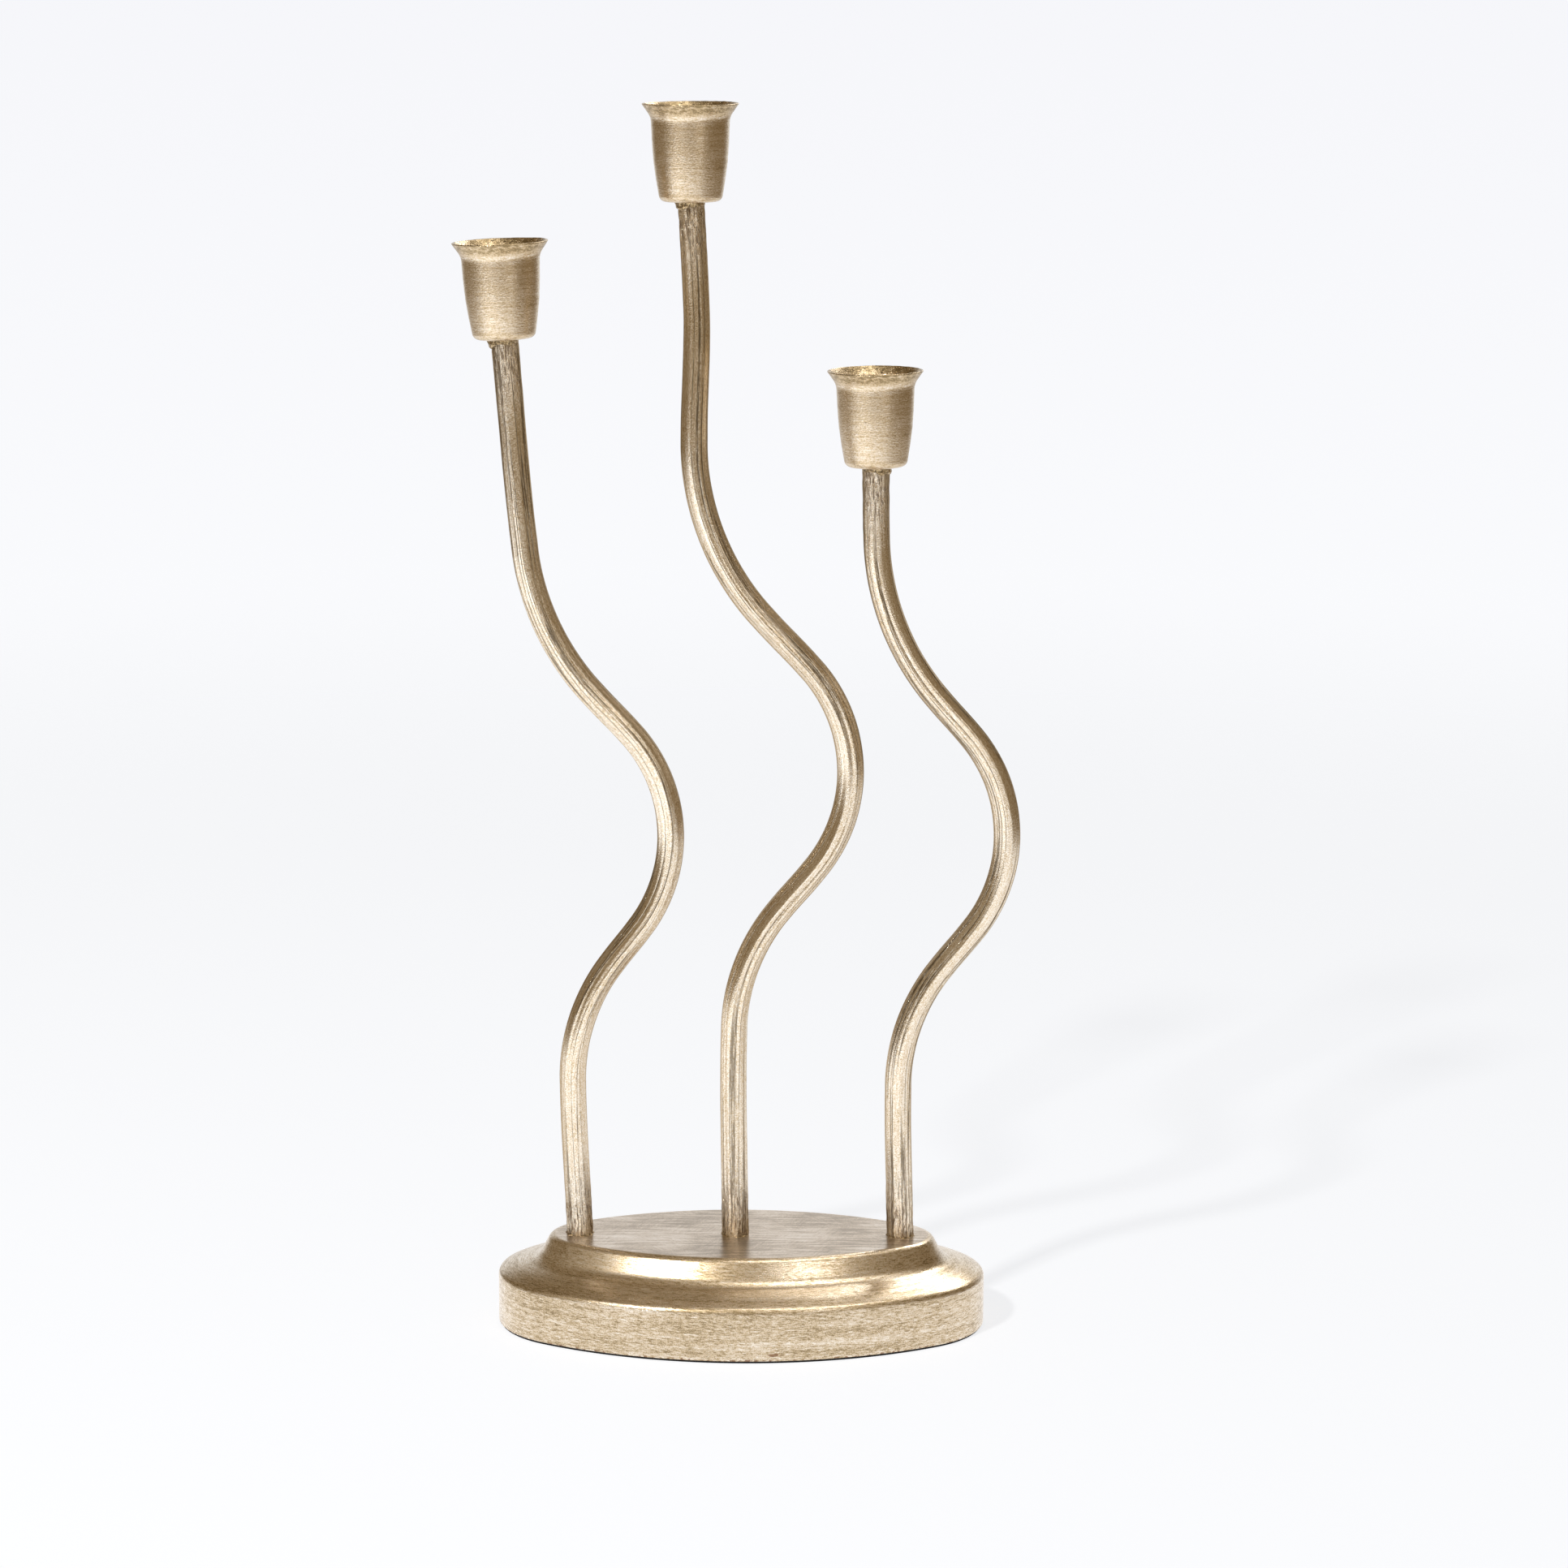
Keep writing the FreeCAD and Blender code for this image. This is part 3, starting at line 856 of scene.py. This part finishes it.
heavy_degrees = {"left": 200, "middle": 190, "right": -20}
for seed, side in enumerate(SIDES):
    bead_outline = bead_shape(math.radians(heavy_degrees[side]), seed)
    bead = make_ring(side + "_cup_bead", upright_to_cup(side), bead_outline, SHADED_CRUST_GILT)
    stands_for(bead, "braze", side + "_cup_braze")
    foot = Matrix.Translation((stem_lines[side][0][0][0], 0, plateau_z))
    crumbs = make_ring(side + "_foot_crumbs", foot, crumb_shape(seed), SHADED_CRUST_GILT)
    stands_for(crumbs, "gilt_stem")
print("beads and crumb rings:", 2 * len(SIDES))

# %% [markdown]
# ## Gilt on the plinth
# The plinth was brushed along its moulding, with strokes of a few millimetres that slant a little. Each
# vertex remembers how far round and how far up the moulding it lies, bent into a cylinder so that there
# is no seam. On the flat top the strokes run across and cross in patches, and a greyish taupe painted over
# the gold there is a painted sheen of the pale wall. The lower edge has lost small chips.

# %% Plinth finish
TOP_STROKES = (-1.15, 1.0)
TOP_START = (19.5, 21.5)
CHIP_PLACE = (12.0, 0, 3.2)


def plinth_gilt():
    material, start = new_finish("plinth_gilt", metallic=GILT_METAL, **VARNISH)
    place = place_in_mm(start)
    _, y, z = place.parts()
    flow = mark_in_mm(start, "straight")
    inset = length_in_mm(start, "inset")
    around, beside, across = flow.parts()
    slant = start.node("CombineXYZ", {}, {0: around, 1: beside, 2: across + around * 0.14})
    strokes = flow.stretch(0.03, 0.03, 1).noise(0.45, 3.0, 0.6)
    hairs = flow.stretch(0.10, 0.10, 1).noise(2.9, 3.0, 0.68)
    dashes = slant.stretch(0.20, 0.20, 1).noise(3.0, 2.0, 0.6)
    specks = place.noise(2.8, 2.0, 0.6)
    clouds = place.noise(0.035, 3.0, 0.5)
    patches = place.stretch(1, 1, 0).noise(0.05, 2.0, 0.5)
    sweeps = place.stretch(0.06, 0.6, 0).noise(1.0, 3.0, 0.65)
    crossed = [place.node("VectorRotate", {"rotation_type": "Z_AXIS"}, {"Vector": place, "Angle": turn})
               .stretch(0.07, 1, 0).noise(1.3, 3.0, 0.65, 0.6) for turn in TOP_STROKES]
    hatch = (crossed[0] - 0.5) * patches.ramp(0.42, 0.58)
    hatch = hatch + (crossed[1] - 0.5) * (1 - patches.ramp(0.38, 0.54))
    top = inset.ramp(*TOP_START)
    moulded = inset.ramp(0.1, 1.4)
    along = (strokes - 0.5) * 1.1 + (hairs - 0.5) * 2.0 + (dashes - 0.5) * 1.4
    over = (sweeps - 0.5) * 2.2 + hatch * 0.9 + (clouds - 0.5) * 1.4
    load = 0.46 + along + (over - along) * top + (specks - 0.5) * 1.4 + (clouds - 0.5) * 0.5
    from_chip = place.vector("SUBTRACT", CHIP_PLACE).stretch(0.30, 0, 1.6)
    from_chip = from_chip.vector("LENGTH", output="Value")
    ragged = (place.noise(0.7, 3.0, 0.6) - 0.5) * 2
    chip = (1 - from_chip + ragged).ramp(0.0, 0.5) * (1 - y.ramp(-30, 0))
    gone = (chip + (ragged - z.ramp(1.2, 2.4)).ramp(0.0, 0.2)) * 0.8
    rough = 0.30 - (load - 0.5) * 0.08 + gone * 0.3
    relief = (hairs * 0.7 + dashes * 0.4) * (1 - top) + hatch * top * 0.3 + specks * 0.35
    relief = relief * (1 - moulded * 0.6) - gone * 0.5
    # Painted sheen: on the flat top a greyish taupe is mixed over the gold for the pale wall's reflection.
    painted_wall_sheen = load.ramp(-0.1, 1.1).tint(PAINTED_SHEEN_DARK, PAINTED_SHEEN_PALE)
    gold = (top * 0.5).tint(gilt_colour(load), painted_wall_sheen)
    feed(base_color=gone.tint(gold, CHIPPED), roughness=rough, normal=relief.bump(0.12 * MM))
    return material


PLINTH_GILT = plinth_gilt()
print("finish:", PLINTH_GILT.name)

# %% [markdown]
# ## The plinth
# The real plinth is fibreboard, routed along its edge. Its outline is an oval of four arcs, and the
# cutter's shape is one outline that follows it. An arc that is moved inwards is still an arc round the
# same centre, so each point of the moulding only needs the direction that the edge faces there and how
# far in it lies. The board was sanded by hand, so the moulding wavers by a tenth of a millimetre. At the
# bottom a thin lip hides the top of the felt. The stems' holes are left out here, because the stems
# fill them.

# %% Read the oval from the plinth's box
END_RADIUS = 36.0
plinth_low, plinth_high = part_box("base_plinth")
half_length = plinth_high.x / MM
half_width = plinth_high.y / MM
end_centre = half_length - END_RADIUS
side_radius = half_length**2 - 2 * half_length * END_RADIUS + half_width**2
side_radius /= 2 * (half_width - END_RADIUS)
side_centre = side_radius - half_width
print("plinth side arcs: radius", round(side_radius, 1), "mm")

# %% Walk round the oval
PLINTH_STEP = 1.2


def oval_turns(step):
    """The directions that the edge faces, at places about one step apart."""
    joint = math.atan2(side_centre, end_centre)
    end = np.linspace(-joint, joint, math.ceil(2 * joint * END_RADIUS / step), endpoint=False)
    side_count = math.ceil((math.pi - 2 * joint) * side_radius / step)
    side = np.linspace(joint, math.pi - joint, side_count, endpoint=False)
    half = np.concatenate([end, side])
    return np.concatenate([half, half + math.pi]).tolist()


def oval_place(turn, inset):
    """Where the edge faces the direction turn, moved in by inset."""
    c, s = math.cos(turn), math.sin(turn)
    if abs(s) * end_centre < abs(c) * side_centre:
        return (END_RADIUS - inset) * c + math.copysign(end_centre, c), (END_RADIUS - inset) * s
    return (side_radius - inset) * c, (side_radius - inset) * s - math.copysign(side_centre, s)


print("places round the edge:", len(oval_turns(PLINTH_STEP)))

# %% Rout the plinth
PLINTH_CORNERS = [
    (-6.4, 0.0, 0.0),
    (-0.6, 0.0, 0.0),
    (-0.6, -0.35, 0.0),
    (0.0, -0.35, 0.4),
    (0.0, 18.2, 2.6),
    (-5.5, 20.7, 16.0),
    (-14.5, 23.0, 6.5),
    (-19.0, 31.4, 3.2),
    (-25.4, 31.4, 0.0),
]
PLINTH_WAVER = 0.12
WAVER_LENGTH = 14.0


def make_plinth():
    turns = oval_turns(PLINTH_STEP)
    edge = np.array([oval_place(turn, 0) for turn in turns])
    around = np.cumsum(np.linalg.norm(edge - np.roll(edge, 1, 0), axis=1))
    roll = around[-1] / (2 * math.pi)
    profile, outward = rounded_outline(PLINTH_CORNERS)
    climbed = np.concatenate([[0], np.cumsum(np.linalg.norm(np.diff(profile, axis=0), axis=1))])
    vertices, straight, insets = [], [], []
    rows = zip(profile.tolist(), outward.tolist(), climbed.tolist())
    for (shift, height), (out, _), across in rows:
        for turn, arc in zip(turns, around.tolist()):
            x, y = oval_place(turn, -shift)
            rub = noise.noise(Vector((x, y, height)) / WAVER_LENGTH)
            waver = PLINTH_WAVER * (rub - 1) / 2 * max(0, out)
            x, y = oval_place(turn, -shift - waver)
            vertices.append(MM * Vector((x, y, height)) + Vector((0, 0, plinth_low.z)))
            angle = arc / roll
            straight.append(MM * Vector((roll * math.cos(angle), roll * math.sin(angle), across)))
            insets.append(-MM * shift)
    faces = ring_faces(len(profile), len(turns)) + end_caps(len(profile), len(turns))
    marks = {"straight": straight, "inset": insets}
    plinth = make_object("gilt_plinth_board", vertices, faces, [PLINTH_GILT], marks)
    return stands_for(plinth, "gilt_plinth", "base_plinth")


plinth = make_plinth()
print("plinth vertices:", len(plinth.data.vertices))

# %% [markdown]
# ## Felt and fixings
# Black felt keeps the plinth from scratching a table. It is wool pressed flat, so short fibres catch the
# light at random. Above it, out of sight, a zinc-plated screw and a washer pull each stem down.


# %% Felt and zinc finishes
def finish_node(node, material):
    """Gives a construction node's object a better material in all its slots."""
    for slot in frame["nodes"][node].material_slots:
        slot.material = material


def felt_finish():
    material, start = new_finish("black_felt", metallic=0.0)
    place = place_in_mm(start)
    fibres = place.stretch(1, 0.3, 1).noise(3.0, 3.0, 0.7, 1.5)
    tufts = place.noise(0.7, 2.0, 0.5)
    lint = (fibres - 0.5) * 1.2 + (tufts - 0.5) * 0.5 + 0.4
    feed(base_color=lint.tint(colour(0.006, 0.006, 0.007), colour(0.030, 0.029, 0.028)),
         roughness=0.88 + (fibres - 0.5) * 0.2, normal=(fibres + tufts * 0.5).bump(0.25 * MM))
    return material


def zinc_finish():
    material, start = new_finish("bright_zinc", metallic=1.0)
    place = place_in_mm(start)
    bloom = place.noise(0.5, 3.0, 0.6)
    turning = place.stretch(0.2, 0.2, 1).noise(4.0, 2.0, 0.5)
    feed(base_color=bloom.ramp(0.35, 0.7).tint(colour(0.48, 0.49, 0.50), colour(0.66, 0.67, 0.69)),
         roughness=0.28 + bloom * 0.2, normal=turning.bump(0.02 * MM))
    return material


finish_node("felt_pad", felt_finish())
ZINC = zinc_finish()
for side in SIDES:
    finish_node(side + "_screw", ZINC)
    finish_node(side + "_washer", ZINC)
print("felt and zinc done")
